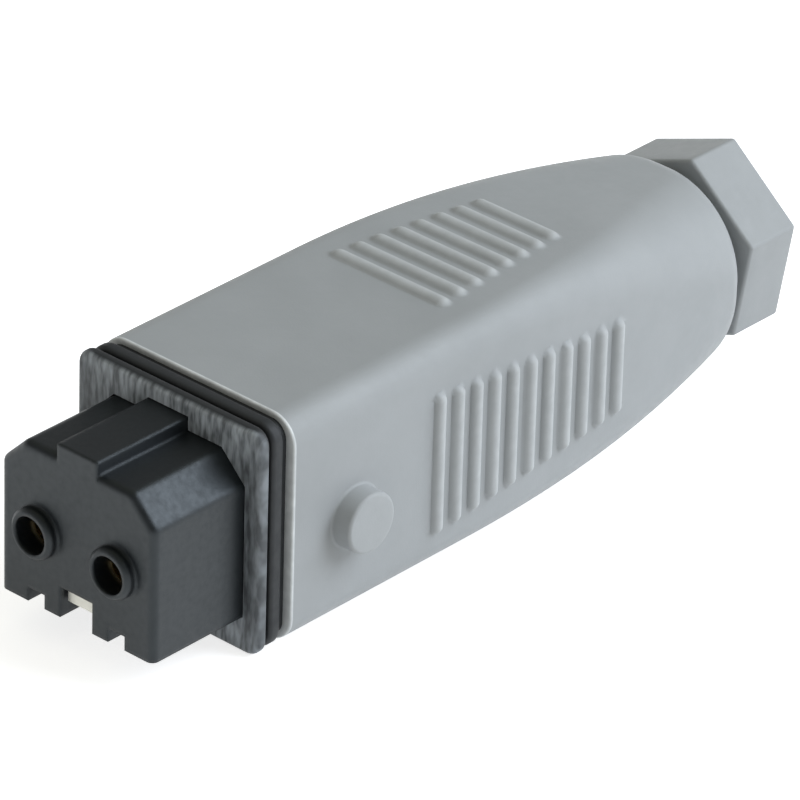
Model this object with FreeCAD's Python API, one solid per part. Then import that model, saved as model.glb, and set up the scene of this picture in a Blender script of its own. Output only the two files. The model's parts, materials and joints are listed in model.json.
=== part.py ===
import FreeCAD, Part
import math
import os

# Cable socket of a small two-pole power connector with an earth contact.
# Millimetres. +X is right seen from the front, +Y runs from the mating face to the cable, +Z is up.
# The origin is on the cable's axis, in the plane of the insert's front face.

os.makedirs("parts", exist_ok=True)
V = FreeCAD.Vector

# Housing: a square shell that tapers to a round end
housing_width = 29.0
top_height = 15.2
bottom_depth = 13.3
housing_wall = 2.2
corner_radius = 3.4
rim_round = 0.8
straight_length = 30.0
taper_length = 49.0
end_radius = 12.2
end_flat = 0.5
end_round = 1.0
side_power = 3.0
top_power = 2.0
corner_power = 2.5
taper_stations = 4

# Locking lugs on both sides
lug_radius = 3.7
lug_height = 2.7
lug_edge = 0.4
lug_setback = 10.0
lug_drop = 0.6

# Grip bars on both sides and on top
side_bar_count = 11
side_bar_pitch = 3.05
side_bar_setback = 23.5
side_bar_rise = 0.4
side_bar_first = 18.0
side_bar_last = 12.2
side_bar_radius = 0.9
side_bar_height = 0.8
top_bar_count = 8
top_bar_pitch = 3.0
top_bar_setback = 31.0
top_bar_first = 17.6
top_bar_last = 12.8
top_bar_radius = 1.1
top_bar_height = 0.6
bar_bevel = 0.5

# Insert: the nose in front of the seal
nose_length = 14.0
nose_width = 23.2
nose_top = 11.4
nose_depth = 8.6
nose_chamfer = 3.5
nose_round = 1.2
nose_front_round = 0.9
key_width = 6.0
key_height = 1.7
slot_width = 4.9
slot_height = 3.85
notch_distance = 6.1
notch_width = 2.5
notch_depth = 1.75
contact_pitch = 11.8
contact_rise = 0.8
collar_radius = 3.1
collar_hole_radius = 2.3
collar_length = 1.3
collar_edge = 0.4

# Insert: flange and body inside the housing
insert_clearance = 0.15
flange_thickness = 1.5
flange_seat = 0.7
body_length = 19.3
socket_stop = 1.5
socket_room = 0.5
cradle_wall = 1.0
cradle_height = 5.0
latch_width = 6.0
latch_thickness = 1.3
latch_length = 12.0
hook_length = 3.0
hook_height = 0.9
hook_room = 0.2

# Seal around the nose
seal_thickness = 4.7
seal_inset = 0.6
seal_edge = 0.1
lip_length = 1.6
lip_groove = 0.5
groove_depth = 0.6
second_lip_length = 1.7
lip_corner = 1.8
second_lip_corner = 2.4
lip_edge = 0.4
seal_clearance = 0.1

# Sockets and their box terminals
pin_diameter = 4.0
pin_clearance = 0.05
socket_wall = 0.85
socket_slit = 0.6
slit_length = 10.0
ring_thickness = 0.35
ring_length = 4.0
ring_setback = 1.4
ring_clearance = 0.03
terminal_setback = 0.5
terminal_width = 7.2
terminal_length = 12.0
terminal_floor = 1.4
terminal_lid = 2.6
cage_width = 4.2
cage_height = 4.4
cage_end_wall = 1.2
terminal_clearance = 0.15
screw_radius = 1.75
screw_clearance = 0.06
screw_lift = 0.9
head_radius = 2.7
head_height = 1.9
drive_slot = 0.7
drive_depth = 1.0
guard_thickness = 0.7
guard_bend = 0.55
guard_length = 6.5
guard_clearance = 0.2
guard_drop = 0.9
guard_gap = 0.05
access_clearance = 0.3

# Earth contact
strip_width = 4.2
strip_thickness = 0.9
strip_recess = 0.9
strip_lip = 2.0
earth_terminal_gap = 2.0

# Plate behind the sockets
retainer_thickness = 1.4
retainer_margin = 1.6
retainer_web = 0.9
retainer_window_margin = 0.4

# Cable gland
thread_radius = 9.3
thread_clearance = 0.06
thread_length = 10.0
gland_hole_radius = 6.0
shoulder_thickness = 2.0
gland_seal_length = 7.0
gland_seal_bore = 4.5
gland_seal_play = 0.6
gland_part_clearance = 0.1
ring_bore = 5.8
thrust_thickness = 1.5
thrust_gap = 0.1
hex_across_flats = 21.8
hex_length = 8.0
hex_turn = 20.7
hex_gap = 1.4
hex_edge = 0.4
hex_bore = 5.5
hex_bore_bevel = 0.8

# Two places nearer than this are the same
same_place = 0.01

# Places along the connector
rim_y = nose_length + seal_thickness
taper_y = rim_y + straight_length
end_y = taper_y + taper_length
body_y = rim_y + body_length
flange_y = rim_y - flange_thickness
head_y = end_y + hex_gap
shank_y = head_y - thread_length
thrust_y = shank_y - thrust_gap - thrust_thickness
gland_seal_y = thrust_y - gland_seal_play - gland_seal_length
cavity_y = gland_seal_y - shoulder_thickness
cavity_half = housing_width / 2 - housing_wall
cavity_top = top_height - housing_wall
cavity_bottom = -bottom_depth + housing_wall
nose_bottom = -nose_depth
slot_top = nose_bottom + slot_height
contact_x = contact_pitch / 2
socket_bore = pin_diameter / 2 + pin_clearance
socket_radius = socket_bore + socket_wall
socket_y = socket_stop
chamber_radius = socket_radius + socket_room
terminal_y = body_y - terminal_setback - terminal_length
terminal_height = terminal_floor + cage_height + terminal_lid
pole_floor = contact_rise - terminal_height / 2
pole_lid = pole_floor + terminal_height
earth_floor = slot_top - strip_thickness
earth_y = body_y + retainer_thickness + earth_terminal_gap


def save(shape, name):
    """Write one finished piece."""
    shape.removeSplitter().exportStep("parts/" + name + ".step")


def block(x0, x1, y0, y1, z0, z1):
    """Box between two corners."""
    return Part.makeBox(x1 - x0, y1 - y0, z1 - z0, V(x0, y0, z0))


def rod(radius, y0, y1, x=0.0, z=0.0):
    """Cylinder along the connector."""
    return Part.makeCylinder(radius, y1 - y0, V(x, y0, z), V(0, 1, 0))


def post(radius, x, y, z0, z1):
    """Upright cylinder."""
    return Part.makeCylinder(radius, z1 - z0, V(x, y, z0), V(0, 0, 1))


def frame_outline(half, bottom, top, radius, y):
    """Rectangle with round corners that stands across the connector at y."""
    centres = (
        (half - radius, top - radius),
        (radius - half, top - radius),
        (radius - half, bottom + radius),
        (half - radius, bottom + radius),
    )
    arcs = []
    for quarter, (x, z) in enumerate(centres):
        points = []
        for step in range(3):
            angle = math.radians(90 * quarter + 45 * step)
            points.append(V(x + radius * math.cos(angle), y, z + radius * math.sin(angle)))
        arcs.append(points)
    edges = []
    for number, points in enumerate(arcs):
        following = arcs[(number + 1) % len(arcs)]
        edges.append(Part.Arc(*points).toShape())
        edges.append(Part.makeLine(points[2], following[0]))
    return Part.Wire(edges)


def frame_prism(half, bottom, top, radius, y0, y1):
    """Solid with a round-cornered section between two places."""
    outline = frame_outline(half, bottom, top, radius, y0)
    return Part.Face(outline).extrude(V(0, y1 - y0, 0))


def edges_along(shape, places):
    """Edges that run along the connector at the given x and z."""
    found = []
    for edge in shape.Edges:
        box = edge.BoundBox
        straight = box.XLength < same_place and box.ZLength < same_place
        for x, z in places:
            if straight and math.hypot(box.XMin - x, box.ZMin - z) < same_place:
                found.append(edge)
    return found


def edges_across(shape, y):
    """Edges that lie across the connector at one y."""
    found = []
    for edge in shape.Edges:
        box = edge.BoundBox
        if box.YLength < same_place and abs(box.YMin - y) < same_place:
            found.append(edge)
    return found


def half_width(share):
    """Distance of the housing's side from the axis, at a share of its taper."""
    return housing_width / 2 + (end_radius - housing_width / 2) * share ** side_power


def top_level(share):
    """Height of the housing's top over the axis, at a share of its taper."""
    return top_height + (end_radius - top_height) * share ** top_power


def taper_outline(share, inset):
    """Section of the housing at a share of its taper, drawn in by a wall."""
    half = half_width(share)
    low = bottom_depth + (end_radius - bottom_depth) * share ** side_power
    high = top_level(share)
    round_end = end_radius - end_flat
    radius = corner_radius + (round_end - corner_radius) * share ** corner_power
    y = taper_y + taper_length * share
    return frame_outline(half - inset, inset - low, high - inset, radius - inset, y)


def outer_taper():
    """Smooth taper from the square section to the round end."""
    sections = []
    for station in range(taper_stations + 1):
        sections.append(taper_outline(station / taper_stations, 0.0))
    return Part.makeLoft(sections, True, False)


def inner_taper():
    """Straight-walled taper of the wiring chamber, a wall's thickness inside the outer one."""
    last = (cavity_y - taper_y) / taper_length
    sections = [taper_outline(0.0, housing_wall), taper_outline(last, housing_wall)]
    return Part.makeLoft(sections, True, True)


def bar(length, radius, middle, direction):
    """Round bar with bevelled ends."""
    shape = Part.makeCylinder(radius, length, middle - direction * (length / 2), direction)
    rims = [edge for edge in shape.Edges if edge.Closed]
    return shape.makeChamfer(bar_bevel, rims)


def grip_bars():
    """Half-sunk bars on the two sides and the top, shorter towards the cable."""
    bars = []
    for number in range(side_bar_count):
        share = number / (side_bar_count - 1)
        y = rim_y + side_bar_setback + side_bar_pitch * number
        length = side_bar_first + (side_bar_last - side_bar_first) * share
        x = half_width(max(0.0, (y - taper_y) / taper_length)) + side_bar_height - side_bar_radius
        left = bar(length, side_bar_radius, V(-x, y, side_bar_rise), V(0, 0, 1))
        bars += [left, left.mirror(V(0, 0, 0), V(1, 0, 0))]
    for number in range(top_bar_count):
        share = number / (top_bar_count - 1)
        y = rim_y + top_bar_setback + top_bar_pitch * number
        length = top_bar_first + (top_bar_last - top_bar_first) * share
        z = top_level(max(0.0, (y - taper_y) / taper_length)) + top_bar_height - top_bar_radius
        bars.append(bar(length, top_bar_radius, V(0, y, z), V(1, 0, 0)))
    return bars


def lug(side):
    """Round locking lug on one side, with a broken edge."""
    face = housing_width / 2 - housing_wall / 2
    height = lug_height + housing_wall / 2
    shape = Part.makeCylinder(lug_radius, height, V(face, rim_y + lug_setback, -lug_drop), V(1, 0, 0))
    rim = [edge for edge in shape.Edges if edge.BoundBox.XMin > face + height / 2]
    shape = shape.makeChamfer(lug_edge, rim)
    if side < 0:
        shape = shape.mirror(V(0, 0, 0), V(1, 0, 0))
    return shape


def latch_pocket(side):
    """Recess inside the wall that the insert's hook snaps into."""
    reach = hook_height + hook_room
    y1 = body_y + latch_length + hook_room
    y0 = y1 - hook_length - 2 * hook_room
    half = latch_width / 2 + hook_room
    wall = cavity_half - insert_clearance
    x = sorted((side * wall, side * (wall + reach)))
    return block(x[0], x[1], y0, y1, -half, half)


def make_housing():
    """Hollow moulding with lugs, grip bars and the gland's bore."""
    outer = frame_prism(housing_width / 2, -bottom_depth, top_height, corner_radius, rim_y, taper_y)
    outer = outer.fuse(outer_taper()).removeSplitter()
    outer = outer.makeFillet(end_round, edges_across(outer, end_y))
    outer = outer.makeFillet(rim_round, edges_across(outer, rim_y))
    shape = outer.fuse(grip_bars() + [lug(-1), lug(1)])
    inner_radius = corner_radius - housing_wall
    cuts = [frame_prism(cavity_half, cavity_bottom, cavity_top, inner_radius, rim_y, taper_y)]
    cuts.append(inner_taper())
    cuts.append(rod(gland_hole_radius, cavity_y - shoulder_thickness, gland_seal_y))
    cuts.append(rod(thread_radius + thread_clearance, gland_seal_y, end_y))
    cuts += [latch_pocket(-1), latch_pocket(1)]
    return shape.cut(cuts)


def nose_outline(grow):
    """Front view of the nose: key on top, chamfers, two notches and the earth slot below."""
    slot = slot_width / 2 - grow
    inner = notch_distance - notch_width / 2 + grow
    outer = notch_distance + notch_width / 2 - grow
    half = nose_width / 2 + grow
    top = nose_top + grow
    low = nose_bottom - grow
    slope = grow * (math.sqrt(2) - 1)
    right = [
        (slot, slot_top - grow),
        (slot, low),
        (inner, low),
        (inner, low + notch_depth),
        (outer, low + notch_depth),
        (outer, low),
        (half, low),
        (half, nose_top - nose_chamfer + slope),
        (nose_width / 2 - nose_chamfer + slope, top),
        (key_width / 2 + grow, top),
        (key_width / 2 + grow, top + key_height),
    ]
    left = [(-x, z) for x, z in reversed(right)]
    return right + left


def outline_prism(outline, y0, y1):
    """Solid from a list of x and z, between two places."""
    points = [V(x, y0, z) for x, z in outline]
    return Part.Face(Part.makePolygon(points + points[:1])).extrude(V(0, y1 - y0, 0))


def make_nose():
    """Nose with softened long edges and collars round the contact holes."""
    shape = outline_prism(nose_outline(0.0), 0, flange_y)
    half = nose_width / 2
    places = []
    for side in (-1, 1):
        places.append((side * half, nose_top - nose_chamfer))
        places.append((side * (half - nose_chamfer), nose_top))
    shape = shape.makeFillet(nose_round, edges_along(shape, places))
    front = []
    for edge in edges_across(shape, 0):
        middle = edge.CenterOfMass
        if middle.z > slot_top and abs(middle.x) > key_width / 2 + same_place:
            front.append(edge)
    shape = shape.makeFillet(nose_front_round, front)
    for side in (-1, 1):
        collar = rod(collar_radius, -collar_length, socket_stop, side * contact_x, contact_rise)
        shape = shape.fuse(collar.makeChamfer(collar_edge, edges_across(collar, -collar_length)))
    return shape


def latch_arm(side):
    """Spring arm behind the insert, with an outward hook at its end."""
    outside = cavity_half - insert_clearance
    half = latch_width / 2
    end = body_y + latch_length
    profile = [
        V(outside - latch_thickness, body_y, -half),
        V(outside, body_y, -half),
        V(outside, end - hook_length, -half),
        V(outside + hook_height, end - hook_length, -half),
        V(outside + hook_height, end - hook_length / 2, -half),
        V(outside, end, -half),
        V(outside - latch_thickness, end, -half),
    ]
    arm = Part.Face(Part.makePolygon(profile + profile[:1])).extrude(V(0, 0, latch_width))
    if side < 0:
        arm = arm.mirror(V(0, 0, 0), V(1, 0, 0))
    return arm


def make_carrier():
    """Insert: nose, flange on the rim, body in the mouth, earth cradle and latch arms."""
    gap = insert_clearance
    radius = corner_radius - housing_wall
    seat = flange_seat
    low = cavity_bottom
    high = cavity_top
    flange = frame_prism(cavity_half + seat, low - seat, high + seat, radius + seat, flange_y, rim_y)
    body = frame_prism(cavity_half - gap, low + gap, high - gap, radius, rim_y, body_y)
    room = terminal_clearance
    half = terminal_width / 2 + room
    wall = cradle_wall
    cradle_end = earth_y + terminal_length
    floor = earth_floor
    cradle = block(-half - wall, half + wall, body_y, cradle_end, floor - wall, floor + cradle_height)
    cradle = cradle.cut(block(-half, half, earth_y - room, cradle_end, floor, floor + cradle_height))
    shape = make_nose().fuse([flange, body, cradle, latch_arm(-1), latch_arm(1)])
    cuts = []
    for side in (-1, 1):
        x = side * contact_x
        cuts.append(rod(collar_hole_radius, -collar_length, socket_stop, x, contact_rise))
        cuts.append(rod(chamber_radius, socket_stop, terminal_y, x, contact_rise))
        cuts.append(block(x - half, x + half, terminal_y - room, body_y, pole_floor - room, pole_lid + room))
        screw_y = terminal_y + terminal_length / 2
        cuts.append(post(head_radius + access_clearance, x, screw_y, pole_lid, cavity_top))
    strip = strip_width / 2 + room
    cuts.append(block(-strip, strip, flange_y, earth_y, slot_top - strip_thickness, slot_top))
    return shape.cut(cuts)


def seal_lip(half, low, high, radius, y0, y1):
    """Lip of the seal with its two outer edges broken."""
    shape = frame_prism(half, low, high, radius, y0, y1)
    return shape.makeChamfer(lip_edge, edges_across(shape, y0) + edges_across(shape, y1))


def make_seal():
    """Rubber frame with two lips, a groove between them and a recess for the flange."""
    half = housing_width / 2 - seal_inset
    low = -bottom_depth + seal_edge
    high = top_height - seal_edge
    deep = groove_depth
    places = [nose_length]
    for length in (lip_length, lip_groove, second_lip_length):
        places.append(places[-1] + length)
    places.append(rim_y)
    lip = seal_lip(half, low, high, lip_corner, places[0], places[1])
    groove = frame_prism(half - deep, low + deep, high - deep, second_lip_corner, places[1], places[2])
    second = seal_lip(half, low, high, second_lip_corner, places[2], places[3])
    skirt = frame_prism(half - deep, low + deep, high - deep, second_lip_corner, places[3], places[4])
    shape = lip.fuse([groove, second, skirt])
    seat = flange_seat + seal_clearance
    radius = corner_radius - housing_wall + seat
    bottom = cavity_bottom - seat
    pocket = frame_prism(cavity_half + seat, bottom, cavity_top + seat, radius, flange_y, rim_y)
    hole = outline_prism(nose_outline(seal_clearance), nose_length, flange_y)
    side = strip_width / 2 + seal_clearance
    strip = block(-side, side, nose_length, flange_y, earth_floor - seal_clearance, slot_top)
    return shape.cut([pocket, hole, strip])


def terminal(x, y, floor):
    """Box terminal: a cage open to the cable, with a threaded hole in its lid."""
    half = terminal_width / 2
    cage = cage_width / 2
    shape = block(x - half, x + half, y, y + terminal_length, floor, floor + terminal_height)
    low = floor + terminal_floor
    opening = block(x - cage, x + cage, y + cage_end_wall, y + terminal_length, low, low + cage_height)
    hole = post(screw_radius + screw_clearance, x, y + terminal_length / 2, low, floor + terminal_height)
    return shape.cut([opening, hole])


def terminal_screw(x, y, floor):
    """Slotted clamping screw, backed out a little so that a wire can go in."""
    lid = floor + terminal_height
    tip = floor + terminal_floor + cage_height - guard_drop + guard_gap
    head = lid + screw_lift
    middle = y + terminal_length / 2
    shape = post(screw_radius, x, middle, tip, head)
    shape = shape.fuse(post(head_radius, x, middle, head, head + head_height))
    half = drive_slot / 2
    top = head + head_height
    slot = block(x - head_radius, x + head_radius, middle - half, middle + half, top - drive_depth, top)
    return shape.cut(slot).removeSplitter()


def wire_guard(x, y, floor):
    """Pressure plate under the screw's tip, with its edges bent down to hold the strands."""
    half = cage_width / 2 - guard_clearance
    top = floor + terminal_floor + cage_height - guard_drop
    middle = y + terminal_length / 2
    y0 = middle - guard_length / 2
    y1 = middle + guard_length / 2
    plate = block(x - half, x + half, y0, y1, top - guard_thickness, top)
    ends = [edge for edge in plate.Edges if edge.BoundBox.ZMax < top - guard_thickness / 2]
    ends = [edge for edge in ends if edge.BoundBox.YLength < same_place]
    return plate.makeFillet(guard_bend, ends)


def socket(side):
    """Slit tube for the pin, neck and box terminal, in one turned and milled piece."""
    x = side * contact_x
    tube = rod(socket_radius, socket_y, terminal_y, x, contact_rise)
    shape = tube.fuse(terminal(x, terminal_y, pole_floor))
    depth = slit_length + ring_length
    bore = rod(socket_bore, socket_y, socket_y + depth, x, contact_rise)
    half = socket_slit / 2
    reach = socket_radius
    slit_end = socket_y + slit_length
    level = block(x - reach, x + reach, socket_y, slit_end, contact_rise - half, contact_rise + half)
    upright = block(x - half, x + half, socket_y, slit_end, contact_rise - reach, contact_rise + reach)
    return shape.cut([bore, level, upright])


def spring_ring(side):
    """Steel ring round the slit end of one socket."""
    x = side * contact_x
    y0 = socket_y + ring_setback
    y1 = y0 + ring_length
    inner = socket_radius + ring_clearance
    hole = rod(inner, y0, y1, x, contact_rise)
    return rod(inner + ring_thickness, y0, y1, x, contact_rise).cut(hole)


def make_earth_contact():
    """Strip under the slot's ceiling with its front end bent down, and a box terminal at the back."""
    half = strip_width / 2
    strip = block(-half, half, strip_recess, earth_y + cage_end_wall, slot_top - strip_thickness, slot_top)
    front = strip_recess + strip_thickness
    bent = block(-half, half, strip_recess, front, slot_top - strip_lip, slot_top)
    return terminal(0.0, earth_y, earth_floor).fuse([strip, bent])


def make_retainer():
    """Plate behind the insert's body that keeps the sockets in, open for the wires and the earth cradle."""
    margin = retainer_window_margin
    window = cage_width / 2 + margin
    half = contact_x + window + retainer_web
    low = cavity_bottom + retainer_margin
    high = cavity_top - retainer_margin
    radius = corner_radius - housing_wall
    y1 = body_y + retainer_thickness
    shape = frame_prism(half, low, high, radius, body_y, y1)
    bottom = pole_floor + terminal_floor - margin
    top = pole_floor + terminal_floor + cage_height + margin
    cuts = []
    for side in (-1, 1):
        x = side * contact_x
        cuts.append(block(x - window, x + window, body_y, y1, bottom, top))
    reach = terminal_width / 2 + terminal_clearance + cradle_wall + insert_clearance
    floor = earth_floor - cradle_wall - insert_clearance
    cuts.append(block(-reach, reach, body_y, y1, floor, earth_floor + terminal_height + margin))
    return shape.cut(cuts)


def ring(outer, inner, y0, y1):
    """Plain ring round the axis."""
    return rod(outer, y0, y1).cut(rod(inner, y0, y1))


def make_gland_screw():
    """Hollow screw with a hexagon head, its edges broken."""
    corner = hex_across_flats / math.sqrt(3)
    points = []
    for number in range(6):
        angle = math.radians(hex_turn + 60 * number)
        points.append(V(corner * math.cos(angle), head_y, corner * math.sin(angle)))
    head = Part.Face(Part.makePolygon(points + points[:1])).extrude(V(0, hex_length, 0))
    head = head.makeChamfer(hex_edge, head.Edges)
    back = head_y + hex_length
    shape = head.fuse(rod(thread_radius, shank_y, head_y))
    bevel = hex_bore_bevel
    mouth = Part.makeCone(hex_bore, hex_bore + bevel, bevel, V(0, back - bevel, 0), V(0, 1, 0))
    return shape.cut([rod(hex_bore, shank_y, back), mouth])


save(make_housing(), "housing")
save(make_carrier(), "contact_carrier")
save(make_seal(), "profile_seal")
for name, side in (("left", -1), ("right", 1)):
    place = (side * contact_x, terminal_y, pole_floor)
    save(socket(side), "socket_" + name)
    save(spring_ring(side), "spring_ring_" + name)
    save(terminal_screw(*place), "terminal_screw_" + name)
    save(wire_guard(*place), "wire_guard_" + name)
earth_place = (0.0, earth_y, earth_floor)
save(make_earth_contact(), "earth_contact")
save(terminal_screw(*earth_place), "earth_screw")
save(wire_guard(*earth_place), "earth_wire_guard")
save(make_retainer(), "contact_retainer")
gland_radius = thread_radius - gland_part_clearance
save(ring(gland_radius, gland_seal_bore, gland_seal_y, gland_seal_y + gland_seal_length), "gland_seal")
save(ring(gland_radius, ring_bore, thrust_y, thrust_y + thrust_thickness), "thrust_ring")
save(make_gland_screw(), "gland_screw")
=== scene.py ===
# %% [markdown]
# # A cable socket for power, dressed for a portrait
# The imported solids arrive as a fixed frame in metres: +X is right seen from the front, +Y runs from the
# mating face to the cable, +Z is up. This lesson keeps every solid whose shape is already right and
# gives it a finish. Three pieces are made again as smooth surfaces: the housing, the framed seal and
# the gland screw. Moulded plastic and rubber have soft edges that a plain solid lacks, and the screw
# gets its thread.

# %% Load the frame
import json
import math

import bpy
import numpy as np
from mathutils import Matrix, Vector


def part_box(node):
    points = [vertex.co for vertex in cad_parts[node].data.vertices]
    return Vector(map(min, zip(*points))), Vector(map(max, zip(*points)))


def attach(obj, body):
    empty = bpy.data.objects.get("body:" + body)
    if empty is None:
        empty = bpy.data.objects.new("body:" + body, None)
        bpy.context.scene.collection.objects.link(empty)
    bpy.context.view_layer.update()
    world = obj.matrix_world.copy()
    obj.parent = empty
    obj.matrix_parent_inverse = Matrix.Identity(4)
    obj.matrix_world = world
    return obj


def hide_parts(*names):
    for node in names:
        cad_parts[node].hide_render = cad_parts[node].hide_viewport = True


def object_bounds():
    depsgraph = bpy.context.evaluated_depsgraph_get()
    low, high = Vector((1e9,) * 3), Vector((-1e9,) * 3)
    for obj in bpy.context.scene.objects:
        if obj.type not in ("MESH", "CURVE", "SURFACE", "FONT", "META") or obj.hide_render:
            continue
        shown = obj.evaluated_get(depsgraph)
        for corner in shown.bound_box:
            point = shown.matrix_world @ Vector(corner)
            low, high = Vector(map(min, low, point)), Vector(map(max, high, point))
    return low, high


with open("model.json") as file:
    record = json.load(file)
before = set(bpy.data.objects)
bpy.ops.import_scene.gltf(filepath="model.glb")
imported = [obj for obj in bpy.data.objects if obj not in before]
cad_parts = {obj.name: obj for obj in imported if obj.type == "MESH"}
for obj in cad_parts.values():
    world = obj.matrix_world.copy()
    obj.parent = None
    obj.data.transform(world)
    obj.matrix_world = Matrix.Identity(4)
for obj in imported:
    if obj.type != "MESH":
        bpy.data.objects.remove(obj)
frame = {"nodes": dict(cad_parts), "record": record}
cad_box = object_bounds()
mm = 0.001

# %% [markdown]
# ## The camera
# A product photograph is taken from far away with a long lens, so parallel edges stay nearly parallel.
# The camera is given by two angles, a slight roll, its place and its focal length in picture widths.
# Its three axes are worked out from the angles, which is plainer than aiming it with a constraint and
# gives the same view on every run.

# %% Camera
camera_azimuth = math.radians(41.655)
camera_elevation = math.radians(29.835)
camera_roll = math.radians(1.712)
camera_place = Vector((488.92, -497.68, 420.53)) * mm
focal_length_in_frames = 9.3905
nearest_seen, furthest_seen = 10 * mm, 50.0


def aim(azimuth, elevation, roll):
    """Camera axes as a rotation: back points to the camera; right, at first level, and up are rolled."""
    level = math.cos(elevation)
    back = Vector((math.sin(azimuth) * level, -math.cos(azimuth) * level, math.sin(elevation)))
    right = Vector((math.cos(azimuth), math.sin(azimuth), 0.0))
    up = back.cross(right)
    rolled_right = right * math.cos(roll) + up * math.sin(roll)
    rolled_up = up * math.cos(roll) - right * math.sin(roll)
    return Matrix((rolled_right, rolled_up, back)).transposed()


camera_data = bpy.data.cameras.new("portrait_camera")
camera_data.sensor_fit = "HORIZONTAL"
camera_data.lens = focal_length_in_frames * camera_data.sensor_width
camera_data.clip_start, camera_data.clip_end = nearest_seen, furthest_seen
camera = bpy.data.objects.new("portrait_camera", camera_data)
bpy.context.scene.collection.objects.link(camera)
camera_axes = aim(camera_azimuth, camera_elevation, camera_roll).to_4x4()
camera.matrix_world = Matrix.Translation(camera_place) @ camera_axes
bpy.context.scene.camera = camera
print("lens", round(camera_data.lens, 1), "mm")

# %% [markdown]
# ## Helpers for node materials
# Every finish below is a small network of nodes. Wiring each one by hand would take pages, so a few
# helpers keep the networks readable: each adds one kind of node, links what goes into it and hands back
# what comes out. The patterns are measured in metres, because object coordinates are, so a noise scale
# of 4000 has grains of a quarter millimetre.

# %% Nodes and patterns


def add(tree, kind, **inputs):
    """Add a node of one kind and set its sockets by name, with spaces written as underscores."""
    node = tree.nodes.new(kind)
    for name, value in inputs.items():
        node.inputs[name.replace("_", " ")].default_value = value
    return node


def start_material(name):
    """New material: its tree, its principled shader and the object coordinates of the piece."""
    material = bpy.data.materials.new(name)
    material.use_nodes = True
    tree = material.node_tree
    shader = next(node for node in tree.nodes if node.type == "BSDF_PRINCIPLED")
    place = tree.nodes.new("ShaderNodeTexCoord").outputs["Object"]
    return material, tree, shader, place


def stretched(tree, place, scale):
    """Object coordinates multiplied along each axis: a pattern is drawn out along the small numbers."""
    node = add(tree, "ShaderNodeMapping", Scale=scale)
    tree.links.new(place, node.inputs["Vector"])
    return node.outputs["Vector"]


def noise(tree, place, scale, detail=2.0, rough=0.5):
    """Cloudy noise between 0 and 1 with so many grains to the metre."""
    node = add(tree, "ShaderNodeTexNoise", Scale=scale, Detail=detail, Roughness=rough)
    tree.links.new(place, node.inputs["Vector"])
    return node.outputs["Fac"]


def stored(tree, name):
    """Value that the mesh keeps with each of its points under a name."""
    node = tree.nodes.new("ShaderNodeAttribute")
    node.attribute_name = name
    return node.outputs["Fac"]


print("pattern helpers ready")

# %% Mixing and relief


def ranged(tree, value, low, high, start=0.3, end=0.7):
    """Straight line from low to high while the value goes from start to end, held outside."""
    node = add(tree, "ShaderNodeMapRange", From_Min=start, From_Max=end, To_Min=low, To_Max=high)
    tree.links.new(value, node.inputs["Value"])
    return node.outputs["Result"]


def combined(tree, operation, first, second):
    """Two values put together by one operation: ADD, MULTIPLY or MAXIMUM."""
    node = tree.nodes.new("ShaderNodeMath")
    node.operation = operation
    tree.links.new(first, node.inputs[0])
    tree.links.new(second, node.inputs[1])
    return node.outputs["Value"]


def tinted(tree, share, first, second):
    """Colour between two by a share from 0 to 1. The first may also be what another node gives."""
    node = tree.nodes.new("ShaderNodeMix")
    node.data_type = "RGBA"
    tree.links.new(share, node.inputs["Factor"])
    if isinstance(first, bpy.types.NodeSocket):
        tree.links.new(first, node.inputs["A"])
    else:
        node.inputs["A"].default_value = (*first, 1.0)
    node.inputs["B"].default_value = (*second, 1.0)
    return node.outputs["Result"]


def raised(tree, height, depth, base=None):
    """Normal bent as if the surface rose by a depth in metres where the height is 1."""
    node = add(tree, "ShaderNodeBump", Strength=1.0, Distance=depth)
    tree.links.new(height, node.inputs["Height"])
    if base is not None:
        tree.links.new(base, node.inputs["Normal"])
    return node.outputs["Normal"]


print("mixing helpers ready")

# %% [markdown]
# ## The floor
# The picture has a white ground with a faint shadow. A floor that is only lit would be grey, and more
# light would bleach the object. So the floor also glows by itself, but only for the camera and for
# reflections: the light path tells them apart, and no false light falls on the object from below.

# %% Floor
floor_size = 6.0
floor_level = cad_box[0][2]
floor_paint, floor_rough = (0.9, 0.9, 0.9), 0.9
floor_clouds, cloud_shade = 6.0, 0.98
floor_glow = 0.74
white = (1.0, 1.0, 1.0)


def seen_directly(tree):
    """1 for rays from the camera, from a mirror or through glass, else 0: the most of three flags."""
    path = tree.nodes.new("ShaderNodeLightPath")
    seen = path.outputs["Is Camera Ray"]
    for name in ("Is Glossy Ray", "Is Transmission Ray"):
        seen = combined(tree, "MAXIMUM", seen, path.outputs[name])
    return seen


def make_floor():
    """Level square at the object's lowest point: a corner grid of two by two points."""
    ends = (-floor_size / 2, floor_size / 2)
    along, across = np.meshgrid(ends, ends)
    corners = np.stack((along, across, np.full_like(along, floor_level)), axis=-1).reshape(-1, 3)
    mesh = bpy.data.meshes.new("studio_floor")
    mesh.from_pydata(corners.tolist(), [], [(0, 1, 3, 2)])
    floor = bpy.data.objects.new("studio_floor", mesh)
    bpy.context.scene.collection.objects.link(floor)
    material, tree, shader, place = start_material("floor_paint")
    shader.inputs["Roughness"].default_value = floor_rough
    shader.inputs["Specular IOR Level"].default_value = 0.0
    shade = [cloud_shade * part for part in floor_paint]
    paint = tinted(tree, noise(tree, place, floor_clouds), shade, floor_paint)
    tree.links.new(paint, shader.inputs["Base Color"])
    shader.inputs["Emission Color"].default_value = (*white, 1.0)
    glow = ranged(tree, seen_directly(tree), 0.0, floor_glow, 0.0, 1.0)
    tree.links.new(glow, shader.inputs["Emission Strength"])
    mesh.materials.append(material)
    return floor


print("floor at", round(make_floor().data.vertices[0].co.z / mm, 2), "mm")

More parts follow.
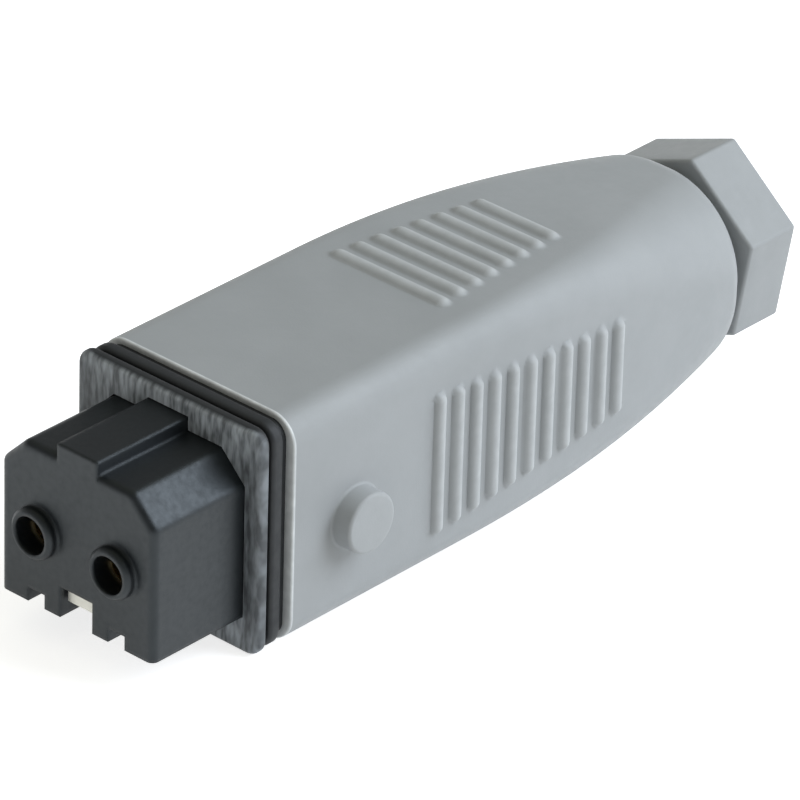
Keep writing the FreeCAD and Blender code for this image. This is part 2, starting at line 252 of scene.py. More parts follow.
# %% [markdown]
# ## Sky and lamp
# The object is lit from the right, so softly that no edge of a shadow shows. A sky picture could light
# it, but a few nodes do: the sky is white round the horizon, where a level view sees it, dim above
# that, and has a warm ceiling overhead. One large square lamp, slightly blue, gives the light its
# direction.

# %% Sky and lamp
sky_between, sky_fade = 0.2, (0.05, 0.35)
ceiling_glow, ceiling_fade, ceiling_tint = 0.17, (0.55, 0.8), (0.99, 0.985, 0.78)
lamp_direction = Vector((0.56, 0.5, 0.63)).normalized()
lamp_distance, lamp_size = 1.2, 1.0
lamp_power, lamp_tint = 14.3, (0.925, 1.0, 1.1)


def make_sky():
    """Strength by the height of the view: 1 falling to a dim level, plus a glow that grows overhead."""
    world = bpy.data.worlds.new("studio_sky")
    world.use_nodes = True
    bpy.context.scene.world = world
    tree = world.node_tree
    sky = next(node for node in tree.nodes if node.type == "BACKGROUND")
    direction = tree.nodes.new("ShaderNodeSeparateXYZ")
    view = tree.nodes.new("ShaderNodeTexCoord").outputs["Generated"]
    tree.links.new(view, direction.inputs["Vector"])
    height = direction.outputs["Z"]
    horizon = ranged(tree, height, 1.0, sky_between, *sky_fade)
    ceiling = ranged(tree, height, 0.0, ceiling_glow, *ceiling_fade)
    tree.links.new(combined(tree, "ADD", horizon, ceiling), sky.inputs["Strength"])
    overhead = ranged(tree, height, 0.0, 1.0, *ceiling_fade)
    tree.links.new(tinted(tree, overhead, white, ceiling_tint), sky.inputs["Color"])


def make_lamp():
    """Square lamp that faces the middle of the object from the right, behind and above."""
    middle = (Vector(cad_box[0]) + Vector(cad_box[1])) / 2
    data = bpy.data.lights.new("soft_box", "AREA")
    data.size = lamp_size
    data.energy = lamp_power
    data.color = lamp_tint
    lamp = bpy.data.objects.new("soft_box", data)
    bpy.context.scene.collection.objects.link(lamp)
    lamp.location = middle + lamp_direction * lamp_distance
    lamp.rotation_euler = lamp_direction.to_track_quat("Z", "Y").to_euler()
    lamp.visible_camera = False


make_sky()
make_lamp()
bpy.context.scene.view_settings.view_transform = "Standard"
print("sky and one lamp of", lamp_power, "W")

# %% [markdown]
# ## From a grid of points to a mesh
# A smooth piece is a table of points: each row is a ring round the piece, each column runs along it. If
# the last row joins the first one, as on a tube with walls, the surface is closed like a ring doughnut
# and needs no lids. The faces follow from the numbers of rows and columns alone, so whole arrays do the
# work.

# %% Grid to mesh
sharp_angle = math.radians(50)
cubic_centimetre = (10 * mm) ** 3


def ring_surface(name, grid):
    """Closed mesh from rows by columns of points, joined round both ways, with its faces outwards.

    Point (i, j) joins (i, j + 1), (i + 1, j + 1) and (i + 1, j). The volume under the faces is negative
    if they look inwards, and then their corners are taken in the other order."""
    rows, columns = grid.shape[:2]
    number = np.arange(rows * columns).reshape(rows, columns)
    right = np.roll(number, -1, axis=1)
    ahead, right_ahead = np.roll(number, -1, axis=0), np.roll(right, -1, axis=0)
    faces = np.stack((number, right, right_ahead, ahead), axis=-1).reshape(-1, 4)
    points = grid.reshape(-1, 3)
    a, b, c, d = (points[faces[:, corner]] for corner in range(4))
    volume = (np.einsum("ij,ij->", a, np.cross(b, c)) + np.einsum("ij,ij->", a, np.cross(c, d))) / 6
    if volume < 0:
        faces = faces[:, ::-1]
    mesh = bpy.data.meshes.new(name)
    mesh.vertices.add(len(points))
    mesh.vertices.foreach_set("co", points.astype(np.float32).ravel())
    mesh.loops.add(faces.size)
    mesh.loops.foreach_set("vertex_index", faces.astype(np.int32).ravel())
    mesh.polygons.add(len(faces))
    mesh.polygons.foreach_set("loop_start", np.arange(0, faces.size, 4, dtype=np.int32))
    mesh.update(calc_edges=True)
    mesh.polygons.foreach_set("use_smooth", np.ones(len(faces), dtype=bool))
    mesh.set_sharp_from_angle(angle=sharp_angle)
    piece = bpy.data.objects.new(name, mesh)
    bpy.context.scene.collection.objects.link(piece)
    size = round(abs(volume) / cubic_centimetre, 2)
    print(name, "has", rows, "rows,", columns, "columns and", size, "cm3")
    return piece


def store(piece, name, values):
    """Keep one value with each point of a piece under a name, for its material to read."""
    layer = piece.data.attributes.new(name, "FLOAT", "POINT")
    layer.data.foreach_set("value", values.astype(np.float32).ravel())


def quarter(radius, steps):
    """Quarter round edge: how far it is drawn in and how far it has run, from the face to the side."""
    turn = np.linspace(0, np.pi / 2, steps)
    return radius * (1 - np.sin(turn)), radius * (1 - np.cos(turn))


print("edges stay sharp from", round(math.degrees(sharp_angle)), "degrees")

# %% [markdown]
# ## The housing
# The housing is one moulding: a square tube that turns round towards the cable, with two locking lugs,
# eleven grip bars on each side and eight on top. It could be cut from solids, but then each bar meets
# the wall in a sharp line, which no mould leaves. Here a ray from the axis is followed to a rectangle
# with round corners, and the corner radius grows along the taper until the section is nearly a circle.

# %% Housing sizes
housing_low, housing_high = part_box("housing")
rim_y, end_y = housing_low.y, housing_high.y
half_width, bottom_depth, top_height = 14.5 * mm, -housing_low.z, 15.2 * mm
corner_radius = 3.4 * mm
end_radius, end_corner = 12.2 * mm, 11.7 * mm
straight_length = 30.0 * mm
taper_y = rim_y + straight_length
side_power, top_power, corner_power = 2.8, 1.9, 1.9
tiny = 1e-9


def section(y):
    """Half width, depth, height and corner radius of the outside at y: powers of the taper's share."""
    share = np.clip((y - taper_y) / (end_y - taper_y), 0, 1)
    half = half_width + (end_radius - half_width) * share**side_power
    low = bottom_depth + (end_radius - bottom_depth) * share**side_power
    high = top_height + (end_radius - top_height) * share**top_power
    radius = corner_radius + (end_corner - corner_radius) * share**corner_power
    return np.stack((half, low, high, radius), axis=-1)


def along_ray(angle, sizes):
    """Distance from the axis to a round-cornered rectangle: its flat side, or a corner's circle."""
    half, low, high, radius = np.moveaxis(sizes, -1, 0)[..., None]
    across, upward = np.abs(np.cos(angle)), np.abs(np.sin(angle))
    level = np.where(np.sin(angle) > 0, high, low)
    flat = np.minimum(half / np.maximum(across, tiny), level / np.maximum(upward, tiny))
    x, z = half - radius, level - radius
    middle = across * x + upward * z
    arc = middle + np.sqrt(np.maximum(middle**2 - x**2 - z**2 + radius**2, 0))
    return np.where((arc * across > x) & (arc * upward > z), arc, flat)


print("housing from", round(rim_y / mm, 1), "to", round(end_y / mm, 1), "mm")

# %% [markdown]
# ## The locking lugs
# A round lug on each side locks the coupling. A cylinder could be joined on, but it would meet the wall
# in a crease, so the lug is a height over the wall, with a round edge and a small fillet. On a square
# grid its edge would have steps, so the grid itself is bent there: each square ring of points round the
# lug's middle is drawn in to a circle, and the rings further out return to squares.

# %% Lug heights
lug_radius, lug_height, lug_draft = 3.7 * mm, 2.7 * mm, 0.03 * mm
lug_edge, lug_fillet = 0.45 * mm, 0.35 * mm
lug_top_steps, lug_edge_steps, lug_fillet_steps = 5, 7, 6
lug_y, lug_z, lug_reach = rim_y + 10.0 * mm, -0.6 * mm, 8.0 * mm


def lug_profile():
    """Distances from the lug's middle and heights: flat top, round edge, steep side, fillet, wall."""
    drawn_in, run = quarter(lug_edge, lug_edge_steps)
    crown = np.stack((lug_radius - drawn_in, lug_height - run), axis=-1)
    drawn_in, run = quarter(lug_fillet, lug_fillet_steps)
    base = np.stack((lug_radius + lug_draft + run, drawn_in), axis=-1)
    inside = np.linspace(0, lug_radius - lug_edge, lug_top_steps, endpoint=False)
    flat_top = np.stack((inside, np.full_like(inside, lug_height)), axis=-1)
    return np.concatenate((flat_top, crown, base))


def bend_to_circles(y, z):
    """Square rings round the lug's middle drawn in to circles: fully near it, not at all at its reach."""
    a, b = y - lug_y, z - lug_z
    ring = np.maximum(np.abs(a), np.abs(b))
    distance = np.maximum(np.hypot(a, b), tiny)
    near = lug_radius + lug_draft + lug_fillet
    share = np.clip((lug_reach - ring) / (lug_reach - near), 0, 1)
    scale = 1 + share * (ring / distance - 1)
    return lug_y + a * scale, lug_z + b * scale, ring


lug_rings = lug_profile()
print("lug drawn by", len(lug_rings), "rings")

# %% [markdown]
# ## The grip bars
# Rows of low bars give the fingers a hold, and they get shorter towards the cable. Bars cut from solids
# meet the wall in a crease. Here each bar is a capsule, sunk by more than half, and a soft maximum
# joins it to the wall with the small fillet that a mould has.

# %% Bar heights
bar_fillet = 0.4 * mm
far_below = -1.0
side_bars = {"count": 11, "pitch": 3.05 * mm, "start": rim_y + 23.5 * mm, "middle": 0.4 * mm,
             "first": 18.0 * mm, "last": 12.2 * mm, "radius": 0.9 * mm, "height": 0.8 * mm}
top_bars = {"count": 8, "pitch": 3.0 * mm, "start": rim_y + 31.0 * mm, "middle": 0.0,
            "first": 17.6 * mm, "last": 12.8 * mm, "radius": 1.1 * mm, "height": 0.6 * mm}


def soft_maximum(a, b, width):
    """The greater of two heights, with a parabola between where they differ by less than the width."""
    overlap = np.maximum(width - np.abs(a - b), 0) / width
    return np.maximum(a, b) + overlap**2 * width / 4


def over_bars(y, across, wall_at, column, bars):
    """Wall joined to the nearest capsule: its sunk axis plus the circle's rise, less past its ends.

    The column says which size of the section the axis follows."""
    nearest = np.clip(np.rint((y - bars["start"]) / bars["pitch"]), 0, bars["count"] - 1)
    middle = bars["start"] + bars["pitch"] * nearest
    length = bars["first"] + (bars["last"] - bars["first"]) * nearest / (bars["count"] - 1)
    axis = section(middle)[..., column] + bars["height"] - bars["radius"]
    past_end = np.maximum(np.abs(across - bars["middle"]) - length / 2 + bars["radius"], 0)
    rise = bars["radius"] ** 2 - (y - middle) ** 2 - past_end**2
    capsule = np.where(rise > 0, axis + np.sqrt(np.maximum(rise, 0)), far_below)
    return soft_maximum(wall_at, capsule, bar_fillet)


print(2 * side_bars["count"] + top_bars["count"], "bars")

# %% [markdown]
# ## Columns of the housing
# Each column of the grid is a ray from the axis. Even angles would waste points on plain walls and
# leave too few where a bar ends, so the rays pass through chosen points of the straight part: close
# together round the lug, at the bars' ends and in the corners, and wide apart on the bottom and in the
# middle of the top.

# %% Rays
bar_end_step, plain_step = 0.34 * mm, 1.5 * mm
bar_ends_from = 5.0 * mm
corner_steps = 10
angle_digits = 6


def steps_between(start, end, step):
    """Evenly spaced values from start up to the end, without the end itself."""
    return np.linspace(start, end, max(1, math.ceil(abs(end - start) / step)), endpoint=False)


def ray_angles():
    """Angles of the rays once round: through points of the straight part's right half, then mirrored."""
    near = lug_rings[1:, 0]
    flat = half_width - corner_radius
    upper, lower = top_height - corner_radius, bottom_depth - corner_radius
    rises = lug_z + np.concatenate((near, steps_between(near[-1], upper - lug_z, bar_end_step)[1:]))
    drops = lug_z - np.concatenate((near, steps_between(near[-1], lower + lug_z, bar_end_step)[1:]))
    bend = np.linspace(0, np.pi / 2, corner_steps)
    out, up = flat + corner_radius * np.cos(bend), corner_radius * np.sin(bend)
    barred_roof = steps_between(flat, bar_ends_from, bar_end_step)
    plain_roof = steps_between(bar_ends_from, 0, plain_step)
    right = np.concatenate((
        np.arctan2(-bottom_depth, steps_between(flat, 0, plain_step)),
        np.arctan2(-lower - up, out),
        np.arctan2(np.concatenate((drops, (lug_z,), rises)), half_width),
        np.arctan2(upper + up, out),
        np.arctan2(top_height, np.concatenate((barred_roof, plain_roof))),
    ))
    right = np.unique(np.round(right, angle_digits))
    return np.concatenate((right, (np.pi / 2,), np.pi - right[::-1], (1.5 * np.pi,)))


angles = ray_angles()
print(len(angles), "rays")

# %% [markdown]
# ## Rows of the housing
# The rows run once round the wall's section: over the rim, along the outside, round the back edge, into
# the gland's bore, through the shoulder into the hollow and forward again to the rim. A lid at each end
# would also close the tube, but this way it has a wall and a hollow.

# %% Rows outside
bar_row_step, plain_row_step = 0.21 * mm, 0.9 * mm
rim_round, rim_steps = 0.25 * mm, 7
rim_line, rim_fade = 0.32 * mm, 0.1 * mm
end_drop, end_run_in, end_steps = 2.1 * mm, 2.8 * mm, 14


def outside_rows():
    """Rows over the rim, past lug and bars, along the taper and round the back edge: y and sizes."""
    drawn_in, run = quarter(rim_round, rim_steps)
    end_drawn_in, end_run = (part[::-1] for part in quarter(1.0, end_steps))
    end_drawn_in, end_run = end_drawn_in * end_drop, end_run * end_run_in
    near = lug_rings[1:, 0]
    lug_rows = np.concatenate((lug_y - near[::-1], (lug_y,), lug_y + near))
    bars_start = side_bars["start"] - side_bars["radius"]
    bars_end = side_bars["start"] + side_bars["pitch"] * (side_bars["count"] - 1) + side_bars["radius"]
    plain = np.concatenate((
        (rim_y + rim_line, rim_y + rim_line + rim_fade),
        steps_between(rim_y + rim_line + rim_fade, lug_rows[0], plain_row_step)[1:],
        lug_rows,
        steps_between(lug_rows[-1], bars_start, plain_row_step)[1:],
        steps_between(bars_start, bars_end, bar_row_step),
        steps_between(bars_end, end_y - end_run_in, plain_row_step),
    ))
    y = np.concatenate((rim_y + run, plain, end_y - end_run))
    inset = np.concatenate((drawn_in, np.zeros_like(plain), end_drawn_in))
    return y, section(y) - inset[:, None]


print(len(outside_rows()[0]), "rows outside")

# %% Rows inside
wall_thickness = 2.2 * mm
thread_bore, bore_lead = 9.36 * mm, 0.3 * mm
shoulder_hole, shoulder_thickness = 6.0 * mm, 2.0 * mm
shoulder_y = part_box("gland_seal")[0].y
cavity_end_y = shoulder_y - shoulder_thickness
pocket_low_y, pocket_high_y = 46.8 * mm, 50.2 * mm


def inside_rows():
    """Rows from the back face through bore, shoulder and hollow to the rim: y, sizes and pocket flags.

    A bore is a section whose four sizes are all its radius, which makes it a circle."""
    bore = np.array((
        (end_y, thread_bore + bore_lead),
        (end_y - bore_lead, thread_bore),
        (shoulder_y, thread_bore),
        (shoulder_y, shoulder_hole),
        (cavity_end_y, shoulder_hole),
    ))
    back = section(np.array(cavity_end_y)) - wall_thickness
    front = section(np.array(taper_y)) - wall_thickness
    hollow_y = np.array((cavity_end_y, pocket_high_y, pocket_high_y, pocket_low_y, pocket_low_y, rim_y))
    share = np.clip((hollow_y - taper_y) / (cavity_end_y - taper_y), 0, 1)[:, None]
    y = np.concatenate((bore[:, 0], hollow_y))
    sizes = np.concatenate((np.repeat(bore[:, 1:], 4, axis=1), front + (back - front) * share))
    in_pocket = np.concatenate((np.full(len(bore), False), (False, False, True, True, False, False)))
    return y, sizes, in_pocket


def on_rays(angle, y, sizes):
    """Points where each row's section meets each ray."""
    distance = along_ray(angle, sizes)
    row_y = np.broadcast_to(y[:, None], distance.shape)
    return distance * np.cos(angle), row_y, distance * np.sin(angle)


print(len(inside_rows()[0]), "rows inside")

# %% [markdown]
# ## The housing's surface
# Now the heights are laid over the outside, and the two pockets that hold the insert's latches are
# pushed into the wall from inside. The crests of the bars, the lugs and the front rim get a painted
# highlight: a lighter colour that stands in for the light they catch. Painting that by hand would be
# lost when the shape changes, so each point stores its share of it and the finish reads it later.

# %% Housing surface
pocket_half, pocket_wall = 3.2 * mm, 13.25 * mm
width_column, height_column = 0, 2
# share of painted highlight on a bar's crest and on a lug
bar_highlight, lug_highlight = 0.38, 0.1


def housing_points():
    """Outside with lug and bars as heights, inside with its pockets, and the painted highlight's share.

    The share is highest on the rim, less on a crest by its height over the wall, and least on a lug."""
    x, y, z = on_rays(angles, *outside_rows())
    y, z, ring = bend_to_circles(y, z)
    lug_rise = np.interp(ring, lug_rings[:, 0], lug_rings[:, 1])
    out = np.abs(x) + lug_rise
    gripped = over_bars(y, z, out, width_column, side_bars)
    roof = np.where(z > 0, over_bars(y, x, z, height_column, top_bars), z)
    crest_share = (gripped - out) / side_bars["height"] + np.sqrt((roof - z) / top_bars["height"])
    # painted highlight: a lighter colour on bar crests and lugs, and in full on the front rim
    highlight_share = bar_highlight * np.clip(crest_share, 0, 1) + lug_highlight * lug_rise / lug_height
    highlight_share = np.maximum(highlight_share, np.clip(1 - (y - rim_y - rim_line) / rim_fade, 0, 1))
    outside = np.stack((np.sign(x) * gripped, y, roof), axis=-1)
    inside_y, sizes, in_pocket = inside_rows()
    x, y, z = on_rays(angles, inside_y, sizes)
    hooked = in_pocket[:, None] & (np.abs(z) < pocket_half) & (np.abs(x) > pocket_half)
    inside = np.stack((np.where(hooked, np.sign(x) * pocket_wall, x), y, z), axis=-1)
    return np.concatenate((outside, inside)), np.concatenate((highlight_share, np.zeros_like(x)))


housing_grid, crest = housing_points()
housing = ring_surface("housing_shell", housing_grid)
# the value stored as crest is the share of painted highlight, which the grey finish reads
store(housing, "crest", crest)
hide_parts("housing")
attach(housing, "connector_body")

# %% [markdown]
# ## The framed seal
# A rubber frame sits round the insert's nose, against the housing's rim, and two lips run round it. A
# solid with bevelled lips would do, but lips of rubber are round and catch the light in one soft line.
# So the frame is a ring surface too. Each column starts at a point of the nose's outline, runs out over
# the front face and both lips, and comes back inside through the recess for the insert's flange.

# %% Seal columns
rubber_low, rubber_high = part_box("profile_seal")
seal_front, seal_back = rubber_low.y, rubber_high.y
seal_half, seal_depth, seal_height = rubber_high.x, -rubber_low.z, rubber_high.z
hole_half, hole_low, hole_top, hole_chamfer = 11.7 * mm, -8.7 * mm, 11.5 * mm, 3.56 * mm
key_half, key_top = 3.1 * mm, 13.2 * mm
slot_half, slot_top = 2.35 * mm, -5.75 * mm
notch_from, notch_to, notch_top = 4.95 * mm, 7.25 * mm, -6.95 * mm
tab_spread, tab_steps = 0.3 * mm, (3, 2, 2, 2, 2, 2, 4)
fan_rise, fan_steps = 0.6 * mm, 14
upper_steps = (10, 20, 5, 2, 3)


def along_runs(corners, counts):
    """Points along straight runs from corner to corner, so many on each run, without the last corner."""
    runs = zip(corners[:-1], corners[1:], counts)
    return np.concatenate([np.linspace(start, end, count, endpoint=False) for start, end, count in runs])


def seal_columns():
    """Points of the nose's outline once round, and for each the angle of its ray through the outer lips.

    Below the nose the rays follow x, spread a little at the sides of the tabs; at the lower corner they
    fan out; from there up they pass through the points themselves. The left half mirrors the right."""
    tabs = np.array((
        (0, slot_top), (slot_half, slot_top), (slot_half, hole_low), (notch_from, hole_low),
        (notch_from, notch_top), (notch_to, notch_top), (notch_to, hole_low), (hole_half, hole_low),
    ))
    spread = np.array((0, -1, 1, -1, 1, -1, 1, -1)) * tab_spread
    below = along_runs(tabs, tab_steps)
    below_rays = np.arctan2(-seal_depth, along_runs(tabs[:, 0] + spread, tab_steps))
    rise = np.linspace(0, fan_rise, fan_steps, endpoint=False)
    fan = np.stack((np.full_like(rise, hole_half), hole_low + rise), axis=-1)
    fan_start = np.arctan2(-seal_depth, hole_half - tab_spread)
    fan_end = np.arctan2(hole_low + fan_rise, hole_half)
    fan_rays = np.linspace(fan_start, fan_end, fan_steps, endpoint=False)
    upper_corners = np.array((
        (hole_half, hole_low + fan_rise), (hole_half, hole_top - hole_chamfer),
        (hole_half - hole_chamfer, hole_top), (key_half, hole_top), (key_half, key_top), (0, key_top),
    ))
    upper = along_runs(upper_corners, upper_steps)
    right = np.concatenate((below, fan, upper))
    rays = np.concatenate((below_rays, fan_rays, np.arctan2(upper[:, 1], upper[:, 0])))
    outline = np.concatenate((right, ((0, key_top),), right[:0:-1] * (-1, 1)))
    return outline, np.concatenate((rays, (np.pi / 2,), np.pi - rays[:0:-1]))


print(len(seal_columns()[0]), "columns round the seal")

# %% [markdown]
# ## The seal's lips and front face
# Seen in section a lip is a flat band with a quarter round on each side. A row of points follows each
# step of those rounds. The front face also stores a value, for the pale bloom that rubber gets where it
# lies open to the air: full on the face and gone a few rows past the edge. Beside the nose the bloom is
# cut back as painted shade, because the lamp lights those sides more than the top.

# %% Seal surface
lip_length, groove_length, second_length = 1.7 * mm, 0.35 * mm, 1.8 * mm
groove_depth = 0.6 * mm
front_round, front_steps, front_corner = 0.75 * mm, 7, 1.8 * mm
lip_round, lip_steps, second_corner = 0.55 * mm, 6, 2.4 * mm
recess_sizes, recess_depth = np.array((13.1, 11.9, 13.8, 2.0)) * mm, 1.5 * mm
recess_y = seal_back - recess_depth
face_steps = 4
# the last value is how far the bloom is cut back beside the nose, as painted shade
beside_from, beside_width, painted_side_shade = 0.6, 0.2, 0.56
bloom_rows, bloom_fade = 2, 0.4


def lip_rows():
    """Rows over both lips: a round front edge, a groove, a second lip with round edges, the skirt."""
    drawn_in, run = quarter(front_round, front_steps)
    edge_in, edge_run = quarter(lip_round, lip_steps)
    lip_end = seal_front + lip_length
    second_start = lip_end + groove_length
    second_end = second_start + second_length
    inset = np.concatenate((
        drawn_in, edge_in[::-1], (groove_depth, groove_depth),
        edge_in, edge_in[::-1], (groove_depth, groove_depth),
    ))
    y = np.concatenate((
        seal_front + run, lip_end - edge_run[::-1], (lip_end, second_start),
        second_start + edge_run, second_end - edge_run[::-1], (second_end, seal_back),
    ))
    lip_corner = np.where(y < lip_end + groove_length / 2, front_corner, second_corner) - inset / 2
    outline = np.array((seal_half, seal_depth, seal_height)) - inset[:, None]
    return y, np.concatenate((outline, lip_corner[:, None]), axis=1)


def seal_points():
    """Rows over the lips, into the flange's recess, through the nose's hole and over the front face."""
    hole, rays = seal_columns()
    y, sizes = lip_rows()
    y = np.concatenate((y, (seal_back, recess_y)))
    sizes = np.concatenate((sizes, recess_sizes[None], recess_sizes[None]))
    outside = np.stack(on_rays(rays, y, sizes), axis=-1)
    back, front = (np.insert(hole, 1, hole_y, axis=1) for hole_y in (recess_y, seal_front))
    share = np.linspace(0, 1, face_steps, endpoint=False)[:, None, None]
    face = front + (outside[0] - front) * share
    beside = np.clip((np.abs(np.cos(rays)) - beside_from) / beside_width, 0, 1)
    row = np.arange(len(y) + 1)[:, None]
    over_edge = np.clip(1 - bloom_fade * (row - bloom_rows - front_steps * beside), 0, 1)
    shown = np.concatenate((over_edge, np.ones((face_steps, len(hole)))))
    # painted shade: the bloom is weaker beside the nose, where the lamp lights the face more
    return np.concatenate((outside, back[None], face)), shown * (1 - painted_side_shade * beside)


seal_grid, face_share = seal_points()
seal = ring_surface("framed_seal", seal_grid)
store(seal, "front_face", face_share)
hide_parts("profile_seal")
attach(seal, "connector_body")

# %% [markdown]
# ## The gland screw
# The hollow screw at the back squeezes a rubber ring round the cable. Its hexagon is a ray problem too:
# seen from the axis, each sixth of a turn is a flat side with a small round corner. The same rays draw
# the thread, a wave in the radius that climbs one pitch in a turn, so the head, the thread and the bore
# are one closed surface. A screw modifier could turn a thread too, but it would be a piece of its own.

# %% Gland screw radii
screw_low, screw_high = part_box("gland_screw")
tip_y, back_y = screw_low.y, screw_high.y
head_length = 8.0 * mm
head_y = back_y - head_length
across_flats, hexagon_corner, hexagon_turn = 21.8 * mm, 0.55 * mm, math.radians(20.7)
half_sixth = math.pi / 6
crest_radius, thread_depth, thread_pitch, thread_runout = 9.3 * mm, 0.75 * mm, 1.41 * mm, 1.2 * mm
wave_gain, wave_lift = 1.3, 0.2


def hexagon(angle, inset):
    """Distance to a hexagon with round corners: a flat at half the width, or a corner's small circle."""
    off = np.abs(np.mod(angle - hexagon_turn + half_sixth, 2 * half_sixth) - half_sixth)
    flat = (across_flats / 2 - inset) / np.cos(half_sixth - off)
    radius = hexagon_corner - inset
    middle = (across_flats / 2 - hexagon_corner) / math.cos(half_sixth)
    arc = middle * np.cos(off) + np.sqrt(np.maximum(radius**2 - (middle * np.sin(off)) ** 2, 0))
    return np.where((arc * np.sin(off) < radius / 2) & (middle * np.sin(off) < radius), arc, flat)


def thread(angle, y):
    """Radius of the thread: the crest less a wave with flat tops, faded out at both ends of the shank."""
    phase = np.mod(y / thread_pitch + angle / (2 * np.pi), 1.0)
    wave = np.clip(wave_gain * np.cos(2 * np.pi * phase) + wave_lift, -1, 1)
    fade = np.clip(np.minimum(y - tip_y, head_y - y) / thread_runout, 0, 1)
    return crest_radius - thread_depth * fade * (1 - wave) / 2


print("thread of", round((head_y - tip_y) / thread_pitch, 1), "turns")

# %% Gland screw surface
corner_offsets = np.radians((0.0, 0.4, 0.8, 1.2, 1.6, 2.1, 3.0, 5.0, 9.0, 14.0, 19.0, 24.0))
offset_digits = 7
hexagon_edge, edge_steps, flat_steps = 0.45 * mm, 6, 6
thread_rows_per_turn = 10
screw_bore, bore_bevel = 5.5 * mm, 0.8 * mm


def gland_screw_points():
    """Rows over the back edge, the flats and the front edge, down the thread and back by the bore."""
    sides = np.unique(np.round(np.concatenate((-corner_offsets, corner_offsets)), offset_digits))
    turn = (hexagon_turn + np.arange(6)[:, None] * 2 * half_sixth + np.append(sides, half_sixth)).ravel()
    inset, run = quarter(hexagon_edge, edge_steps)
    flats = np.linspace(back_y - hexagon_edge, head_y + hexagon_edge, flat_steps)[1:-1]
    head_rows = np.concatenate((back_y - run, flats, head_y + run[::-1]))
    head_inset = np.concatenate((inset, np.zeros_like(flats), inset[::-1]))
    head = hexagon(turn, head_inset[:, None])
    steps = math.ceil((head_y - tip_y) / thread_pitch * thread_rows_per_turn)
    shank_rows = np.linspace(head_y, tip_y, steps)
    shank = thread(turn, shank_rows[:, None])
    bore_rows = np.array((tip_y, back_y - bore_bevel, back_y))
    bore = np.array((screw_bore, screw_bore, screw_bore + bore_bevel))[:, None] * np.ones_like(turn)
    y = np.concatenate((head_rows, shank_rows, bore_rows))[:, None] * np.ones_like(turn)
    radius = np.concatenate((head, shank, bore))
    return np.stack((radius * np.cos(turn), y, radius * np.sin(turn)), axis=-1)


gland_screw = ring_surface("gland_screw_moulding", gland_screw_points())
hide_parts("gland_screw")
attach(gland_screw, "gland_nut")

# %% [markdown]
# ## Grey moulded plastic
# The housing and the gland screw are moulded in a grey, glass-filled plastic. Its skin is satin:
# spark-eroded moulds leave a fine grain and thick walls sink by a few hundredths of a millimetre. The
# crests of the bars, the lugs and the front rim get a painted highlight, a much lighter grey. One flat
# grey would look like clay. So two noises of very different scale make the grain and the sinking, and
# the painted highlight comes from the value stored with the housing, broken up by a noise.

# %% Grey plastic
# the last colour is the painted highlight's grey on crests, lugs and rim
dark_grey, light_grey, highlight_grey = (0.336, 0.348, 0.352), (0.362, 0.374, 0.379), (0.72, 0.735, 0.73)
grey_clouds, highlight_patches, grey_gloss, grey_waves, grey_grain = 110.0, 700.0, 900.0, 260.0, 4200.0
highlight_strength, grey_rough, grey_shine = (0.65, 0.95), (0.46, 0.58), 0.35
grey_wave_depth, grey_grain_depth = 0.03 * mm, 0.012 * mm


def grey_plastic(name, highlighted):
    """Cloudy grey between two near tones, a painted highlight where marked, fine grain over long soft
    waves.
    """
    material, tree, shader, place = start_material(name)
    cloud = ranged(tree, noise(tree, place, grey_clouds, detail=3.0), 0.0, 1.0)
    colour = tinted(tree, cloud, dark_grey, light_grey)
    # painted highlight: the stored share, broken into patches, turns the grey lighter
    if highlighted:
        patches = ranged(tree, noise(tree, place, highlight_patches), *highlight_strength)
        highlight_share = combined(tree, "MULTIPLY", stored(tree, "crest"), patches)
        colour = tinted(tree, highlight_share, colour, highlight_grey)
    tree.links.new(colour, shader.inputs["Base Color"])
    rough = ranged(tree, noise(tree, place, grey_gloss), *grey_rough)
    tree.links.new(rough, shader.inputs["Roughness"])
    shader.inputs["Specular IOR Level"].default_value = grey_shine
    waves = raised(tree, noise(tree, place, grey_waves, detail=1.0), grey_wave_depth)
    grain = raised(tree, noise(tree, place, grey_grain), grey_grain_depth, waves)
    tree.links.new(grain, shader.inputs["Normal"])
    return material


housing.data.materials.append(grey_plastic("housing_grey", True))
gland_screw.data.materials.append(grey_plastic("gland_grey", False))
print("grey plastic on two mouldings")

# %% [markdown]
# ## Dark plastics
# The insert and its retainer are smooth black mouldings, and the thrust ring is a paler and duller one.
# They keep their solids, whose edges are sharp, while a mould rounds every edge a little. A bevel
# modifier would change the shape, so a bevel node bends only the shading there. A specular tint gives
# the black its faint bluish sheen.

# %% Dark plastics
edge_round, edge_samples = 0.7 * mm, 6
black_clouds, black_gloss, black_waves, black_grain = 160.0, 1200.0, 350.0, 5200.0
cloud_gain, gloss_spread = 1.25, 0.06
blue_sheen, black_shine = (0.87, 0.95, 1.0), 0.52
black_wave_depth, black_grain_depth = 0.008 * mm, 0.006 * mm


